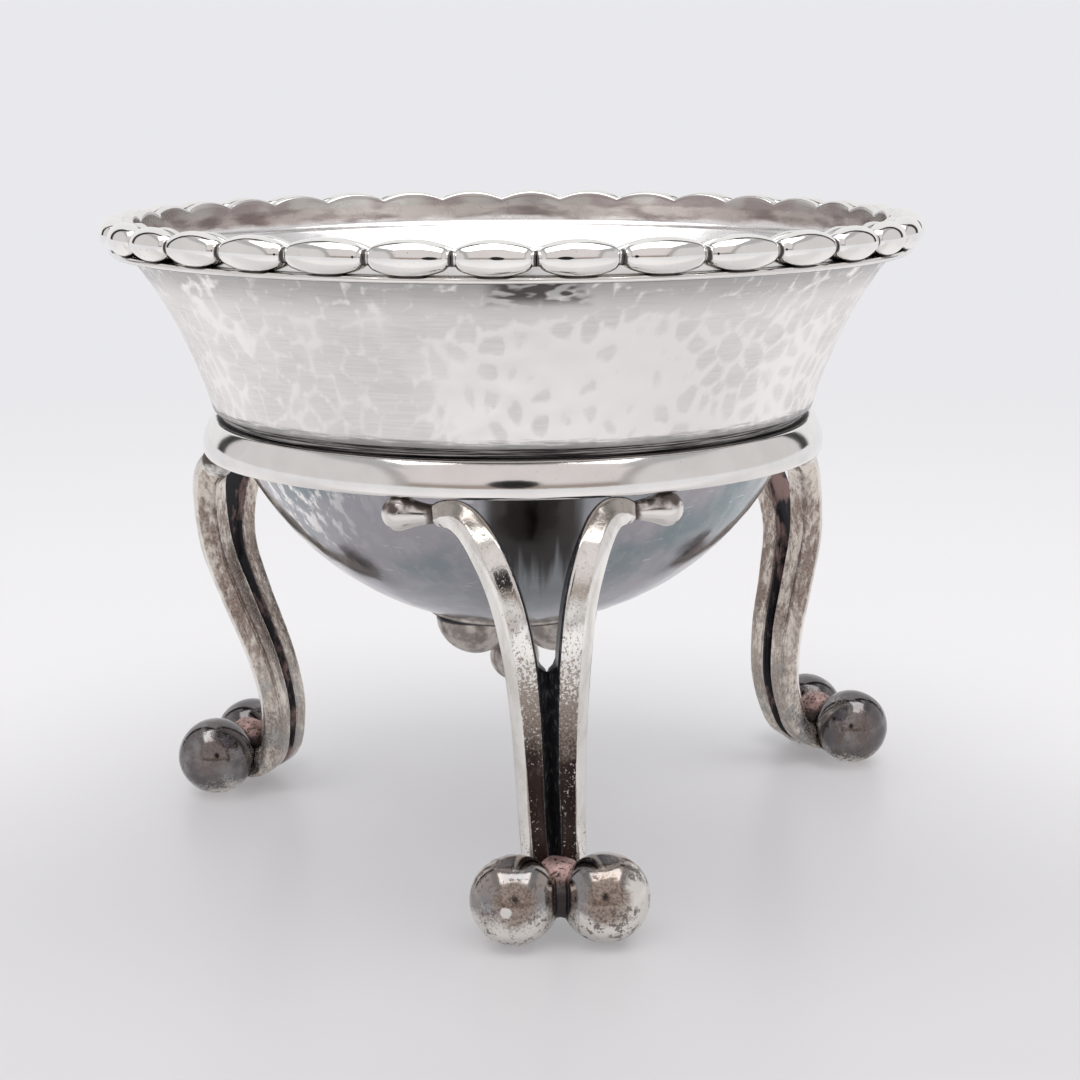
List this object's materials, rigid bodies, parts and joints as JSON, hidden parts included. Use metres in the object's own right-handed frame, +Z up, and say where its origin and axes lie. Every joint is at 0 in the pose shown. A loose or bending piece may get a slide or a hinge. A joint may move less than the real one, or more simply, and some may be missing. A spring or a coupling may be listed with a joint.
{
  "type": "salt cellar",
  "caption": "Round bowl with a flared collar and a beaded rim, held at its waist by a ring on forked S-shaped legs with ball feet.",
  "frame": {"origin": "on the table, under the middle of the bowl", "axes": "+Z up; -Y towards the front leg, which is the side that the picture shows; +X to the right of that view"},
  "size_m": [0.0709, 0.0698, 0.0539],
  "materials": {
    "bowl_silver": "planished silver with small hammer facets and fine scratches, blue-grey tarnish on the round bottom",
    "wire_silver": "polished silver with dark oxide in the corners",
    "bead_silver": "highly polished silver, oxidised black between the beads",
    "ring_silver": "highly polished silver",
    "leg_silver": "polished silver, mottled with brown tarnish towards the foot",
    "bud_silver": "polished silver with dark oxide at the joint",
    "foot_silver": "silver with a glossy dark tarnish and worn pale patches",
    "boss_silver": "silver with a mottled warm grey tarnish"
  },
  "bodies": {
    "root": {"bowl": "bowl_silver", "rim_wire": "wire_silver", "bead_01": "bead_silver", "bead_02": "bead_silver", "bead_03": "bead_silver", "bead_04": "bead_silver", "bead_05": "bead_silver", "bead_06": "bead_silver", "bead_07": "bead_silver", "bead_08": "bead_silver", "bead_09": "bead_silver", "bead_10": "bead_silver", "bead_11": "bead_silver", "bead_12": "bead_silver", "bead_13": "bead_silver", "bead_14": "bead_silver", "bead_15": "bead_silver", "bead_16": "bead_silver", "bead_17": "bead_silver", "bead_18": "bead_silver", "bead_19": "bead_silver", "bead_20": "bead_silver", "bead_21": "bead_silver", "bead_22": "bead_silver", "bead_23": "bead_silver", "bead_24": "bead_silver", "bead_25": "bead_silver", "bead_26": "bead_silver", "bead_27": "bead_silver", "bead_28": "bead_silver", "bead_29": "bead_silver", "bead_30": "bead_silver", "bead_31": "bead_silver", "bead_32": "bead_silver", "bead_33": "bead_silver", "bead_34": "bead_silver", "support_ring": "ring_silver", "front_leg_left_bar": "leg_silver", "front_leg_right_bar": "leg_silver", "left_leg_left_bar": "leg_silver", "left_leg_right_bar": "leg_silver", "right_leg_left_bar": "leg_silver", "right_leg_right_bar": "leg_silver", "front_leg_left_drop": "bud_silver", "front_leg_right_drop": "bud_silver", "left_leg_left_drop": "bud_silver", "left_leg_right_drop": "bud_silver", "right_leg_left_drop": "bud_silver", "right_leg_right_drop": "bud_silver", "front_leg_left_ball": "foot_silver", "front_leg_right_ball": "foot_silver", "left_leg_left_ball": "foot_silver", "left_leg_right_ball": "foot_silver", "right_leg_left_ball": "foot_silver", "right_leg_right_ball": "foot_silver", "boss_plate": "boss_silver", "boss_lobe_1": "boss_silver", "boss_lobe_2": "boss_silver", "boss_lobe_3": "boss_silver", "boss_finial": "boss_silver"}
  },
  "joints": []
}
